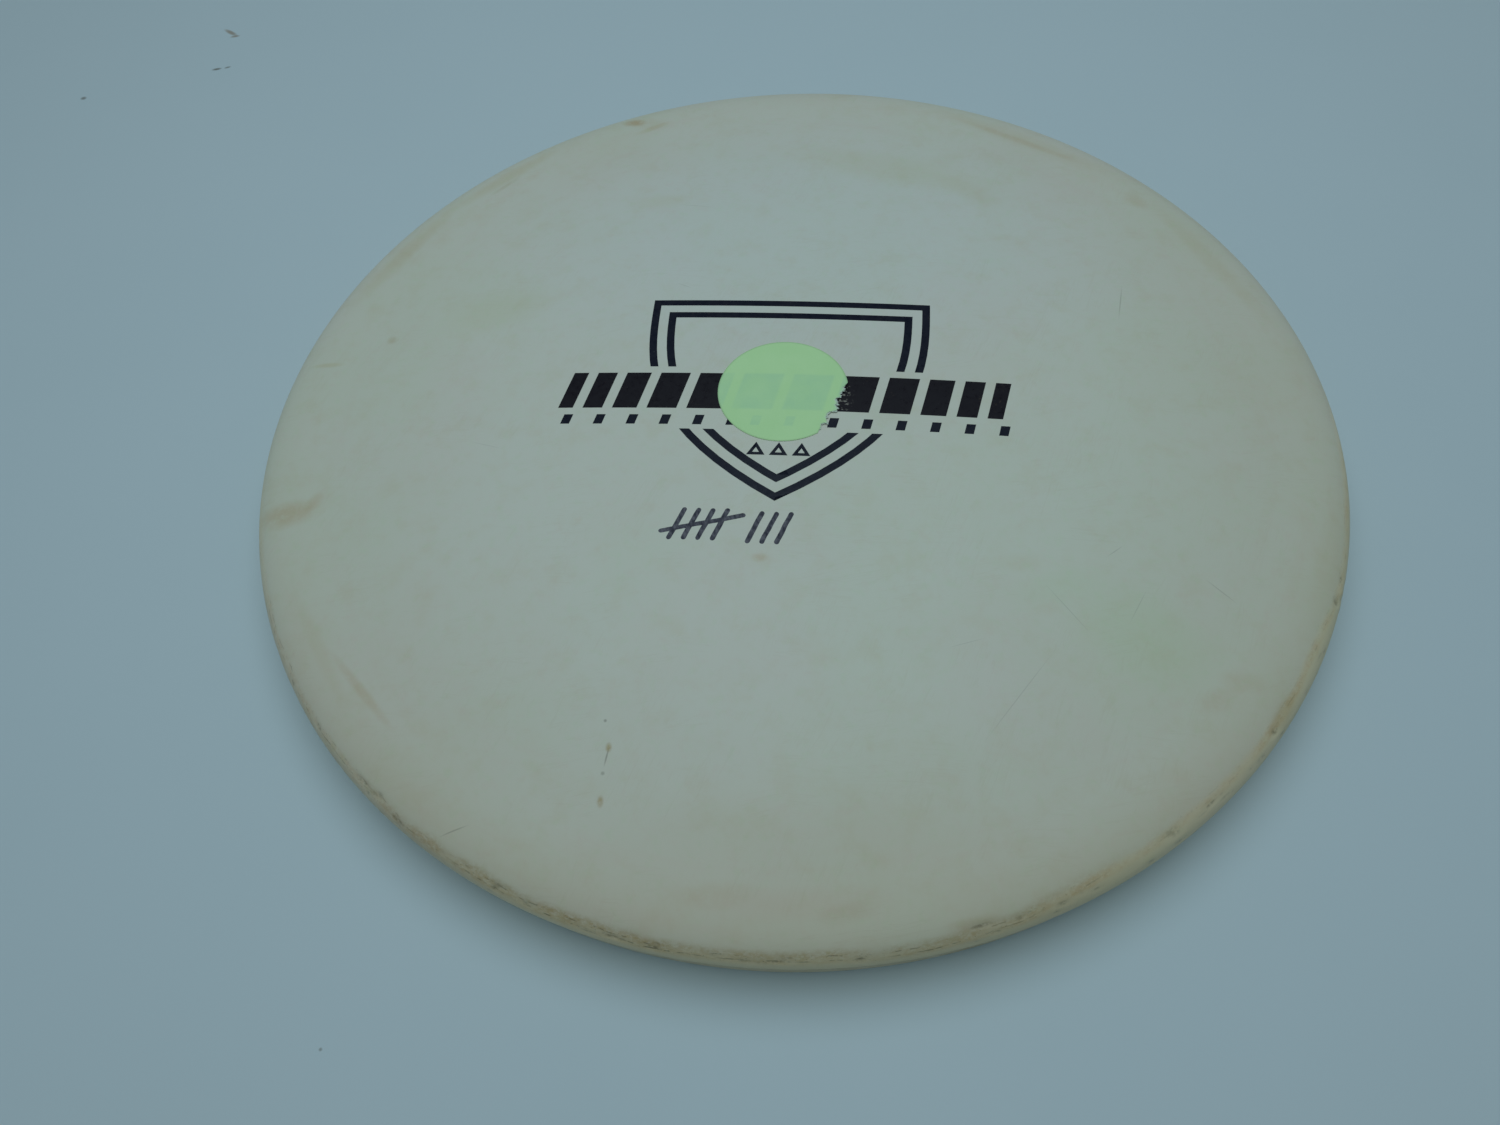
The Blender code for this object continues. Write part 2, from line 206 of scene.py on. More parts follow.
# The camera looks down at the disc from close by. Its distance is measured from the disc's middle,
# a little way off the point that it aims at.
CAMERA_DISTANCE = 0.2587
CAMERA_ELEVATION = math.radians(51.8)
CAMERA_AIM = Vector((-0.0093, -0.0255, 0.0))
CAMERA_ROLL = math.radians(-5.195)
CAMERA_LENS = 29.1

# The light's place and size are in metres, its power in watts.
LIGHT_COLOUR = (0.370, 0.465, 0.520)
ROOM_LIGHT = 0.30
CEILING_PLACE = (0.0, 0.10, 0.78)
CEILING_SIZE = 0.83
CEILING_POWER = 4.45
POOL_PLACE = (-0.05, -0.28, 0.78)
POOL_AIM = (-0.015, 0.10, 0.0)
POOL_SPREAD = math.radians(48)
POOL_SOFTNESS = 0.20
POOL_POWER = 6.0


# ---------------------------------------------------------------- the moulding's profile


def dome_height(radius):
    return DISC_HEIGHT - radius * radius / (2 * DOME_CURVE_RADIUS)


def dome_slope(radius):
    return -radius / DOME_CURVE_RADIUS


def evenly(start, end, steps):
    """steps + 1 numbers from start to end."""
    return [start + (end - start) * i / steps for i in range(steps + 1)]


def bezier(start, pull_start, pull_end, end, steps):
    """Points on a cubic curve, without its first point."""
    points = []
    for t in evenly(0.0, 1.0, steps)[1:]:
        s = 1.0 - t
        weights = (s**3, 3 * s * s * t, 3 * s * t * t, t**3)
        corners = (start, pull_start, pull_end, end)
        points.append(tuple(sum(w * c[axis] for w, c in zip(weights, corners)) for axis in (0, 1)))
    return points


def arc(centre, radius, start_angle, end_angle, steps):
    """Points on an arc in the profile's plane, without its first point."""
    angles = evenly(start_angle, end_angle, steps)[1:]
    return [(centre[0] + radius * math.cos(a), centre[1] + radius * math.sin(a)) for a in angles]


def disc_rings():
    """(radius, height, steps round) of each ring, from the top's centre round to the underside's."""
    rings = []

    def add(points, steps):
        rings.extend((r, z, steps) for r, z in points)

    def add_dome(stretches, drop):
        for start, end, gaps, steps in stretches:
            add([(r, dome_height(r) - drop) for r in evenly(start, end, gaps)], steps)

    add([(0.0, DISC_HEIGHT)], 1)
    add_dome(TOP_STRETCHES, 0.0)

    # Shoulder: leaves the dome at its slope and stands upright at the nose.
    shoulder = (SHOULDER_RADIUS, dome_height(SHOULDER_RADIUS))
    nose = (DISC_RADIUS, NOSE_HEIGHT)
    leave = (
        SHOULDER_RADIUS + SHOULDER_PULL,
        shoulder[1] + dome_slope(SHOULDER_RADIUS) * SHOULDER_PULL,
    )
    above_nose = (DISC_RADIUS, NOSE_HEIGHT + NOSE_PULL_UP)
    add(bezier(shoulder, leave, above_nose, nose, SHOULDER_GAPS), RIM_STEPS)

    # Outer wall and the bead.
    bead = (DISC_RADIUS - BEAD_INSET, BEAD_RADIUS)
    bead_top = (
        bead[0] + BEAD_RADIUS * math.cos(BEAD_TOP_ANGLE),
        bead[1] + BEAD_RADIUS * math.sin(BEAD_TOP_ANGLE),
    )
    below_nose = (DISC_RADIUS, NOSE_HEIGHT - NOSE_PULL_DOWN)
    above_bead = (bead_top[0] + BEAD_PULL[0], bead_top[1] + BEAD_PULL[1])
    add(bezier(nose, below_nose, above_bead, bead_top, WALL_GAPS), RIM_STEPS)
    add(arc(bead, BEAD_RADIUS, BEAD_TOP_ANGLE, -math.pi / 2, BEAD_GAPS), RIM_STEPS)

    # Foot, inner wall, and the fillet under the plate.
    land_inner = bead[0] - LAND_WIDTH
    add([(land_inner, 0.0)], RIM_STEPS)
    foot = (land_inner, RIM_FOOT_ROUND)
    add(arc(foot, RIM_FOOT_ROUND, -math.pi / 2, -math.pi, FOOT_GAPS), HALF_STEPS)
    under_end = dome_height(FILLET_END) - PLATE_THICKNESS
    wall_top = (RIM_INNER_RADIUS, under_end - PLATE_FILLET)
    wall_middle = (RIM_INNER_RADIUS + WALL_HOLLOW, (wall_top[1] + RIM_FOOT_ROUND) / 2)
    add([wall_middle, wall_top], HALF_STEPS)
    above_wall = (RIM_INNER_RADIUS, wall_top[1] + FILLET_PULL_UP)
    outside_end = (
        FILLET_END + FILLET_PULL_IN,
        under_end + dome_slope(FILLET_END) * FILLET_PULL_IN,
    )
    plate_end = (FILLET_END, under_end)
    add(bezier(wall_top, above_wall, outside_end, plate_end, FILLET_GAPS), HALF_STEPS)

    # Underside of the plate, and the round boss where the plastic was let in.
    add_dome(UNDERSIDE_STRETCHES, PLATE_THICKNESS)
    root = dome_height(GATE_RADIUS) - PLATE_THICKNESS
    boss = root - GATE_HEIGHT
    boss_foot, boss_edge = (GATE_FOOT, root), (GATE_RADIUS - GATE_DRAFT, boss)
    corners = (boss_foot, (GATE_RADIUS, root), (GATE_RADIUS, boss), boss_edge)
    add(bezier(*corners, GATE_GAPS), CENTRE_STEPS * 2)
    add([(r, boss + depth) for r, depth in GATE_END], CENTRE_STEPS)
    add([(0.0, boss + GATE_PIT_DEPTH)], 1)
    return rings


# ---------------------------------------------------------------- the moulding's mesh


def profile_frame(rings):
    """Each ring's distance along the profile from the nose, and its outward normal in that plane."""
    places = np.array([(r, z) for r, z, _ in rings])
    ahead = np.roll(places, -1, axis=0) - places
    lengths = np.hypot(*ahead[:-1].T)
    along = np.concatenate([[0.0], np.cumsum(lengths)])
    nose = int(np.argmax(places[:, 0]))
    tangents = np.gradient(places, along, axis=0)
    normals = np.stack([-tangents[:, 1], tangents[:, 0]], axis=1)
    normals /= np.hypot(*normals.T)[:, None]
    return along - along[nose], normals


def stitch(first, first_steps, second, second_steps):
    """Faces between two neighbouring rings, whose vertices start at first and second."""
    if first_steps == second_steps:
        return [
            (first + k, second + k, second + (k + 1) % second_steps, first + (k + 1) % first_steps)
            for k in range(first_steps)
        ]
    # Fine vertices fan out from the nearer of two coarse ones. A last triangle closes the gap.
    faces = []
    coarse, fine = min(first_steps, second_steps), max(first_steps, second_steps)
    outwards = first_steps == coarse
    coarse_start, fine_start = (first, second) if outwards else (second, first)
    share = fine // coarse
    for i in range(coarse):
        here, after = coarse_start + i, coarse_start + (i + 1) % coarse
        middle = fine_start + (i * share + share // 2) % fine
        for j in range(share):
            left = fine_start + i * share + j
            right = fine_start + (i * share + j + 1) % fine
            corner = here if j < share // 2 else after
            faces.append((corner, left, right) if outwards else (left, corner, right))
        if here != after:
            faces.append((here, middle, after) if outwards else (here, after, middle))
    return faces


def nick_list():
    """(direction, distance from the nose along the profile, length, width, depth) of each nick."""
    draw = random.Random(NICK_SEED)
    nicks = list(NICKS)
    for _ in range(SMALL_NICKS):
        worn_side = draw.random() < SHARE_ON_WORN_SIDE
        azimuth = draw.uniform(*(WORN_AZIMUTHS if worn_side else ALL_AZIMUTHS))
        away = draw.gauss(*(WORN_MEAN_AND_SPREAD if worn_side else OTHER_MEAN_AND_SPREAD))
        length = draw.uniform(*NICK_LENGTHS)
        width = draw.uniform(*NICK_WIDTHS)
        depth = draw.uniform(*NICK_DEPTHS) * (1.0 if worn_side else ELSEWHERE_DEPTH_SHARE)
        nicks.append((azimuth, away, length, width, depth))
    return [(math.radians(azimuth), *(size * MM for size in sizes)) for azimuth, *sizes in nicks]


def worn_places(places, away, radius, azimuth, normals):
    """The rim's vertices with its nicks pressed in, and how deep in a nick each one is, from 0 to 1."""
    worn = places.copy()
    marks = np.zeros(len(places))
    for direction, distance, length, width, depth in nick_list():
        turn = np.angle(np.exp(1j * (azimuth - direction)))
        near_round = np.abs(turn) < NICK_REACH * length / DISC_RADIUS
        near_down = np.abs(away - distance) < NICK_REACH * width
        close = near_round & near_down
        side = turn[close] * radius[close] / length
        across = (away[close] - distance) / width
        dent = np.exp(-side**2 - across**2)
        below = np.exp(-side**2 - (across - BURR_PLACE) ** 2)
        above = np.exp(-side**2 - (across + BURR_PLACE) ** 2)
        worn[close] += normals[close] * (depth * (BURR_HEIGHT * (below + above) - dent))[:, None]
        marks[close] = np.maximum(marks[close], dent * min(1.0, depth / DIRTY_DEPTH))
    return worn, marks


def store(mesh, name, values):
    """Keeps one number for each vertex, for the materials to read."""
    layer = mesh.attributes.new(name, "FLOAT", "POINT")
    layer.data.foreach_set("value", np.asarray(values, np.float32))


def make_moulding():
    """The turned mesh. Its along attribute is millimetres down the profile from the nose."""
    rings = disc_rings()
    away, profile_normals = profile_frame(rings)
    places, faces, starts = [], [], []
    ring_away, ring_normals, azimuths = [], [], []
    count = 0
    for (radius, height, steps), distance, normal in zip(rings, away, profile_normals):
        angle = np.arange(steps) * math.tau / steps
        around = np.stack([np.cos(angle), np.sin(angle)], axis=1)
        places.append(np.column_stack([around * radius, np.full(steps, height)]))
        ring_normals.append(np.column_stack([around * normal[0], np.full(steps, normal[1])]))
        ring_away.append(np.full(steps, distance))
        azimuths.append(angle)
        starts.append(count)
        count += steps
    for i in range(len(rings) - 1):
        faces += stitch(starts[i], rings[i][2], starts[i + 1], rings[i + 1][2])

    places = np.concatenate(places)
    radius = np.hypot(places[:, 0], places[:, 1])
    worn, marks = worn_places(
        places, np.concatenate(ring_away), radius, np.concatenate(azimuths), np.concatenate(ring_normals)
    )
    mesh = bpy.data.meshes.new("worn_disc")
    mesh.from_pydata(worn.tolist(), [], faces)
    store(mesh, "nick", marks)
    store(mesh, "along", np.concatenate(ring_away) / MM)
    mesh.shade_smooth()
    mesh.set_sharp_from_angle(angle=math.radians(50))
    return place_piece("worn_disc", mesh, "cream_plastic", plastic_material(), "moulded_disc")


# ---------------------------------------------------------------- the layers on the plate


def place_piece(name, mesh, slot, material, *nodes):
    """Adds a piece that rides on the disc and stands for the CAD nodes named."""
    mesh.materials.clear()
    mesh.materials.append(material)
    piece = bpy.data.objects.new(name, mesh)
    bpy.context.scene.collection.objects.link(piece)
    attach(piece, "root")
    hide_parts(*nodes)
    return piece


def thicken(piece, thickness):
    solid = piece.modifiers.new("thickness", "SOLIDIFY")
    solid.thickness = thickness
    solid.offset = 1.0


@contextlib.contextmanager
def editing(mesh, source=None):
    """The mesh, or another one that it is made from, opened for editing and written back."""
    work = bmesh.new()
    work.from_mesh(mesh if source is None else source)
    yield work
    work.to_mesh(mesh)
    work.free()


def weld(work):
    bmesh.ops.remove_doubles(work, verts=work.verts, dist=WELD_DISTANCE)


def cut_on_grid(work, grid):
    """Cuts all faces along the lines of a square grid."""
    for axis in (0, 1):
        spots = [vert.co[axis] for vert in work.verts]
        across = Vector((0.0, 0.0, 0.0))
        across[axis] = 1.0
        for line in np.arange(math.ceil(min(spots) / grid) * grid, max(spots), grid):
            everything = work.verts[:] + work.edges[:] + work.faces[:]
            bmesh.ops.bisect_plane(
                work, geom=everything, plane_co=across * line, plane_no=across, dist=CUT_EXACTNESS
            )


def sheet_of(node, grid, wander=0.0):
    """The upper face of a thin CAD piece, cut on a grid and laid on the dome. wander moves its edges."""
    mesh = bpy.data.meshes.new(node)
    with editing(mesh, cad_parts[node].data) as work:
        weld(work)
        work.normal_update()
        sides = [face for face in work.faces if face.normal.z < TOP_FACE]
        bmesh.ops.delete(work, geom=sides, context="FACES")
        cut_on_grid(work, grid)
        for vert in work.verts:
            if wander:
                drift = noise.noise_vector(vert.co * WANDER_FREQUENCY)
                vert.co.x += drift.x * wander
                vert.co.y += drift.y * wander
            vert.co.z = dome_height(vert.co.xy.length) + FOIL_LIFT
        weld(work)
    return mesh


def make_stamp_and_ink():
    # Without a seed, noise_vector differs from run to run.
    noise.seed_set(WANDER_SEED)
    foil, ink = foil_material(), ink_material()
    for node in sorted(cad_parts):
        if node.startswith("foil_"):
            mesh = sheet_of(node, FOIL_GRID)
            piece = place_piece("stamped_" + node, mesh, "black_foil", foil, node)
            thicken(piece, FOIL_THICKNESS)
        elif node.startswith("marker_"):
            mesh = sheet_of(node, INK_GRID, INK_WANDER)
            piece = place_piece("inked_" + node, mesh, "marker_ink", ink, node)
            thicken(piece, FOIL_THICKNESS / 2)


def tear_share(angle):
    """0 on the label's whole edge, rising to 1 along the part that was torn."""
    away = abs(math.remainder(angle - TEAR_MIDDLE, math.tau)) / TEAR_HALF_ANGLE
    return min(1.0, TEAR_SHARPNESS * max(0.0, 1.0 - away))


def ragged(angle, seed, frequency, roughness, spread, octaves):
    """Fractal noise round the label's edge."""
    around = Vector((math.cos(angle), math.sin(angle), 0.0)) * frequency
    return noise.fractal(around + Vector((0.0, 0.0, seed)), roughness, spread, octaves)


def printed_edge(angle):
    """The printed face's radius in a direction, with a ragged bite where it was torn."""
    broad = sum(size * math.sin(count * angle + shift) for count, shift, size in RAG_WAVES)
    fine = ragged(angle, *EDGE_NOISE)
    return LABEL_RADIUS - tear_share(angle) * (TEAR_DEPTH + BROAD_RAG * broad + FINE_RAG * fine)


def label_layer(name, inner_edge, outer_edge, lift):
    """A round or ring-shaped sheet laid on the dome. Each edge gives its radius from an angle."""
    places, torn, faces = [], [], []
    for row in range(LABEL_ROWS + 1):
        share = (row / LABEL_ROWS) ** ROW_CROWDING
        for k in range(LABEL_SPOKES):
            angle = math.tau * k / LABEL_SPOKES
            inner, outer = inner_edge(angle), outer_edge(angle)
            radius = inner + (outer - inner) * share
            x = LABEL_CENTRE.x + radius * math.cos(angle)
            y = LABEL_CENTRE.y + radius * math.sin(angle)
            from_edge = outer - radius
            uneven = noise.noise(Vector((x, y, 0.0)) * RIPPLE_FREQUENCY)
            ripple = RIPPLE_HEIGHT * (1.0 + uneven)
            curl = CURL_HEIGHT * tear_share(angle) * math.exp(-from_edge / CURL_REACH)
            places.append((x, y, dome_height(math.hypot(x, y)) + lift + ripple + curl))
            torn.append(tear_share(angle) * math.exp(-from_edge / BARE_REACH))
            if row:
                before = (row - 1) * LABEL_SPOKES
                here = row * LABEL_SPOKES
                after = (k + 1) % LABEL_SPOKES
                faces.append((before + k, here + k, here + after, before + after))
    mesh = bpy.data.meshes.new(name)
    mesh.from_pydata(places, [], faces)
    store(mesh, "torn", torn)
    with editing(mesh) as work:
        weld(work)
    mesh.shade_smooth()
    return mesh


def make_label():
    def centre(angle):
        return 0.0

    def core_inner(angle):
        return printed_edge(angle) - CORE_INSET

    def core_outer(angle):
        fibres = ragged(angle, *FIBRE_NOISE)
        reach = max(FIBRE_LEAST, (FIBRE_MEAN + FIBRE_SPREAD * fibres) * MM)
        return printed_edge(angle) + tear_share(angle) * reach

    paper = label_layer("dot_label_paper", centre, printed_edge, LABEL_LIFT + FACE_THINNER)
    piece = place_piece("dot_label_paper", paper, "green_paper", label_material(), "dot_label")
    thicken(piece, LABEL_THICKNESS - FACE_THINNER)
    core = label_layer("dot_label_torn_core", core_inner, core_outer, LABEL_LIFT)
    with editing(core) as work:
        slivers = [face for face in work.faces if face.calc_area() < SLIVER_AREA]
        bmesh.ops.delete(work, geom=slivers, context="FACES")
    material = torn_core_material()
    piece = place_piece("dot_label_torn_core", core, "green_paper", material, "dot_label")
    thicken(piece, CORE_THICKNESS)


# ---------------------------------------------------------------- materials

# Where a Mix node keeps its two colours and its result.
MIX_FIRST = 6
MIX_SECOND = 7
MIX_RESULT = 2

# A spot is full out to SPOT_CORE of its size and gone at SPOT_END. It reaches all the way down.
SPOT_CORE = 0.35
SPOT_END = 1.4
SPOT_HEIGHT = 60.0


class Shader:
    """A Principled material being wired up. Places are in millimetres in the disc's own frame."""

    def __init__(self, name, roughness, specular=0.5):
        self.material = bpy.data.materials.new(name)
        self.material.use_nodes = True
        self.tree = self.material.node_tree
        self.surface = self.tree.nodes["Principled BSDF"]
        self.surface.inputs["Roughness"].default_value = roughness
        self.surface.inputs["Specular IOR Level"].default_value = specular
        coordinates = self.node("ShaderNodeTexCoord").outputs["Object"]
        self.place = self.scaled(coordinates, (1 / MM, 1 / MM, 1 / MM))
        parts = self.node("ShaderNodeSeparateXYZ")
        self.feed(parts.inputs[0], self.place)
        self.x, self.y, _ = parts.outputs
        squares = self.maths("MULTIPLY", self.x, self.x), self.maths("MULTIPLY", self.y, self.y)
        self.radius = self.maths("SQRT", self.maths("ADD", *squares))

    def node(self, kind, **settings):
        made = self.tree.nodes.new(kind)
        for name, value in settings.items():
            setattr(made, name, value)
        return made

    def feed(self, socket, value):
        if isinstance(value, bpy.types.NodeSocket):
            self.tree.links.new(value, socket)
        else:
            socket.default_value = value

    def scaled(self, vector, scale, turn=0.0):
        mapping = self.node("ShaderNodeMapping")
        self.feed(mapping.inputs["Vector"], vector)
        mapping.inputs["Scale"].default_value = scale
        mapping.inputs["Rotation"].default_value = (0.0, 0.0, turn)
        return mapping.outputs[0]

    def turned(self, turn):
        """The places turned about the axis, so that a noise read there has another pattern."""
        return self.scaled(self.place, (1.0, 1.0, 1.0), turn) if turn else self.place

    def maths(self, operation, first, second=0.0, clamp=False):
        made = self.node("ShaderNodeMath", operation=operation, use_clamp=clamp)
        self.feed(made.inputs[0], first)
        self.feed(made.inputs[1], second)
        return made.outputs[0]

    def product(self, *factors):
        total = factors[0]
        for factor in factors[1:]:
            total = self.maths("MULTIPLY", total, factor)
        return total

    def noise(self, size, detail=3.0, rough=0.55, place=None):
        """Noise from 0 to 1 whose blotches are about size millimetres."""
        made = self.node("ShaderNodeTexNoise")
        self.feed(made.inputs["Vector"], place or self.place)
        made.inputs["Scale"].default_value = 1.0 / size
        made.inputs["Detail"].default_value = detail
        made.inputs["Roughness"].default_value = rough
        return made.outputs[0]

    def rise(self, value, low, high, top=1.0):
        """0 below low, top above high, smooth between. low may be the greater."""
        made = self.node("ShaderNodeMapRange", interpolation_type="SMOOTHSTEP")
        self.feed(made.inputs["Value"], value)
        if low < high:
            made.inputs["From Min"].default_value = low
            made.inputs["From Max"].default_value = high
            made.inputs["To Min"].default_value = 0.0
            made.inputs["To Max"].default_value = top
        else:
            made.inputs["From Min"].default_value = high
            made.inputs["From Max"].default_value = low
            made.inputs["To Min"].default_value = top
            made.inputs["To Max"].default_value = 0.0
        return made.outputs[0]

    def band(self, value, middle, half_width, soft):
        """1 within half_width of middle, falling to 0 over soft."""
        away = self.maths("ABSOLUTE", self.maths("SUBTRACT", value, middle))
        return self.rise(away, half_width + soft, half_width)

    def mix(self, share, first, second, blend="MIX"):
        made = self.node("ShaderNodeMix", data_type="RGBA", blend_type=blend)
        self.feed(made.inputs[0], share)
        self.feed(made.inputs[MIX_FIRST], first)
        self.feed(made.inputs[MIX_SECOND], second)
        return made.outputs[MIX_RESULT]

    def tint(self, share, under, colour):
        """Multiplies what is under by a colour, by share."""
        return self.mix(share, under, colour, "MULTIPLY")

    def spot(self, x, y, length, width, degrees=0.0):
        """A soft oval mark: its middle, half length and half width, and which way its length runs."""
        made = self.node("ShaderNodeMapping", vector_type="TEXTURE")
        self.feed(made.inputs["Vector"], self.place)
        made.inputs["Location"].default_value = (x, y, 0.0)
        made.inputs["Rotation"].default_value = (0.0, 0.0, math.radians(degrees))
        made.inputs["Scale"].default_value = (length, width, SPOT_HEIGHT)
        reach = self.node("ShaderNodeVectorMath", operation="LENGTH")
        self.feed(reach.inputs[0], made.outputs[0])
        return self.rise(reach.outputs["Value"], SPOT_END, SPOT_CORE)

    def facing(self, azimuth, full, fade):
        """1 within full degrees of an azimuth round the disc, falling to 0 over fade degrees."""
        turn = self.maths("ARCTAN2", self.y, self.x)
        away = self.maths("SUBTRACT", turn, math.radians(azimuth))
        wrapped = self.node("ShaderNodeMath", operation="WRAP")
        self.feed(wrapped.inputs[0], away)
        self.feed(wrapped.inputs[1], math.pi)
        self.feed(wrapped.inputs[2], -math.pi)
        size = self.maths("ABSOLUTE", wrapped.outputs[0])
        return self.rise(size, math.radians(full + fade), math.radians(full))

    def around(self, stretch):
        """Places for a noise drawn out round the disc. A smaller stretch draws it out more."""
        made = self.node("ShaderNodeCombineXYZ")
        for socket, part in zip(made.inputs, (self.x, self.y)):
            direction = self.maths("DIVIDE", part, self.radius)
            self.feed(socket, self.maths("MULTIPLY", direction, stretch))
        self.feed(made.inputs[2], self.radius)
        return made.outputs[0]

    def on_stamp(self):
        """How far across and up the stamp a place is, in the stamp's own directions."""
        turned = self.node("ShaderNodeMapping", vector_type="TEXTURE")
        self.feed(turned.inputs["Vector"], self.place)
        turned.inputs["Location"].default_value = STAMP_CENTRE / MM
        turned.inputs["Rotation"].default_value = (0.0, 0.0, STAMP_TURN)
        parts = self.node("ShaderNodeSeparateXYZ")
        self.feed(parts.inputs[0], turned.outputs[0])
        return parts.outputs[0], parts.outputs[1]

    def attribute(self, name):
        return self.node("ShaderNodeAttribute", attribute_name=name).outputs["Fac"]

    def bump(self, height, distance):
        """height times distance, in metres, stands out from the surface."""
        made = self.node("ShaderNodeBump")
        self.feed(made.inputs["Height"], height)
        made.inputs["Distance"].default_value = distance
        made.inputs["Strength"].default_value = 1.0
        self.feed(self.surface.inputs["Normal"], made.outputs[0])

    def finish(self, colour, roughness=None):
        self.feed(self.surface.inputs["Base Color"], colour)
        if roughness is not None:
            self.feed(self.surface.inputs["Roughness"], roughness)
        return self.material


SCRATCH_DIRECTIONS = 4
SCRATCH_AREA = 90
SCRATCH_STRETCH = (0.06, 1.0, 0.06)


def scratches(shader, spacing, length, width, share, seed):
    """Thin straight marks in a few directions: 1 on a scratch, 0 off it."""
    found = 0.0
    draw = random.Random(seed)
    for _ in range(SCRATCH_DIRECTIONS):
        turn = draw.uniform(0, math.pi)
        shifted = shader.node("ShaderNodeMapping")
        shader.feed(shifted.inputs["Vector"], shader.place)
        shift = draw.uniform(0, SCRATCH_AREA), draw.uniform(0, SCRATCH_AREA)
        shifted.inputs["Location"].default_value = (*shift, 0.0)
        shifted.inputs["Rotation"].default_value = (0.0, 0.0, turn)
        drawn_out = shader.scaled(shifted.outputs[0], SCRATCH_STRETCH)
        lanes = shader.noise(spacing, 2.0, 0.5, drawn_out)
        line = shader.band(lanes, 0.5, 0.0, width)
        parts = shader.noise(length, 1.0, 0.5, shifted.outputs[0])
        kept = shader.rise(parts, 1 - share, 1.04 - share)
        mark = shader.product(line, kept)
        found = mark if found == 0.0 else shader.maths("MAXIMUM", found, mark)
    return found


CREAM = (0.744, 0.740, 0.618, 1.0)
# A bluer cream, painted as sheen on the far part.
SHEEN_CREAM = (0.738, 0.746, 0.668, 1.0)
# A darker tint: partly wear, partly painted shade on the outer and near parts.
WORN_AND_SHADE = (0.940, 0.900, 0.845, 1.0)
GREENISH = (0.93, 1.0, 0.90, 1.0)
PINKISH = (1.0, 0.94, 0.94, 1.0)
OLIVE = (0.93, 0.92, 0.78, 1.0)
TAN = (0.93, 0.88, 0.765, 1.0)
RUST = (0.85, 0.66, 0.48, 1.0)
EARTH = (0.68, 0.52, 0.28, 1.0)
GRIME = (0.130, 0.105, 0.055, 1.0)
DUST = (0.80, 0.74, 0.62, 1.0)
# A lighter khaki, mixed on the rim's wall partly as painted light.
KHAKI = (0.920, 0.800, 0.520, 1.0)
SCRATCHED = (0.86, 0.82, 0.74, 1.0)

# Parts of the disc by the way they face: azimuth, half width and fade, in degrees.
HANDLED_AND_SHADED_SIDE = (-60.0, 60.0, 70.0)
SKIRT_SIDE = (-88.0, 32.0, 60.0)
WORN_SIDE = (-97.0, 14.0, 28.0)
LEFT_SIDE = (-142.0, 14.0, 16.0)
RIGHT_SIDE = (-42.0, 24.0, 16.0)

# Where the dirt line rides higher: a part as above, and by how many millimetres.
DIRT_RISES = ((-50.0, 14.0, 13.0, 2.0), (-18.0, 12.0, 10.0, 1.2), (-146.0, 20.0, 14.0, 0.8))

# The far part, where a bluish sheen is painted: place, half length and half width.
FAR_SHEEN_PART = (5.0, 50.0, 66.0, 42.0)

# Clouds of colour all over: blotch size, detail and roughness of the noise, the values between
# which a cloud rises, its strength, the turn of its pattern in radians, and its colour.
CLOUDS = (
    (42.0, 2.0, 0.55, 0.42, 0.66, 0.30, 0.0, GREENISH),
    (34.0, 2.0, 0.50, 0.50, 0.72, 0.32, 1.1, PINKISH),
    (6.0, 5.0, 0.65, 0.45, 0.75, 0.36, 0.0, TAN),
    (2.0, 4.0, 0.60, 0.50, 0.76, 0.46, 2.3, GREENISH),
    (2.4, 4.0, 0.60, 0.50, 0.76, 0.48, 0.0, PINKISH),
)
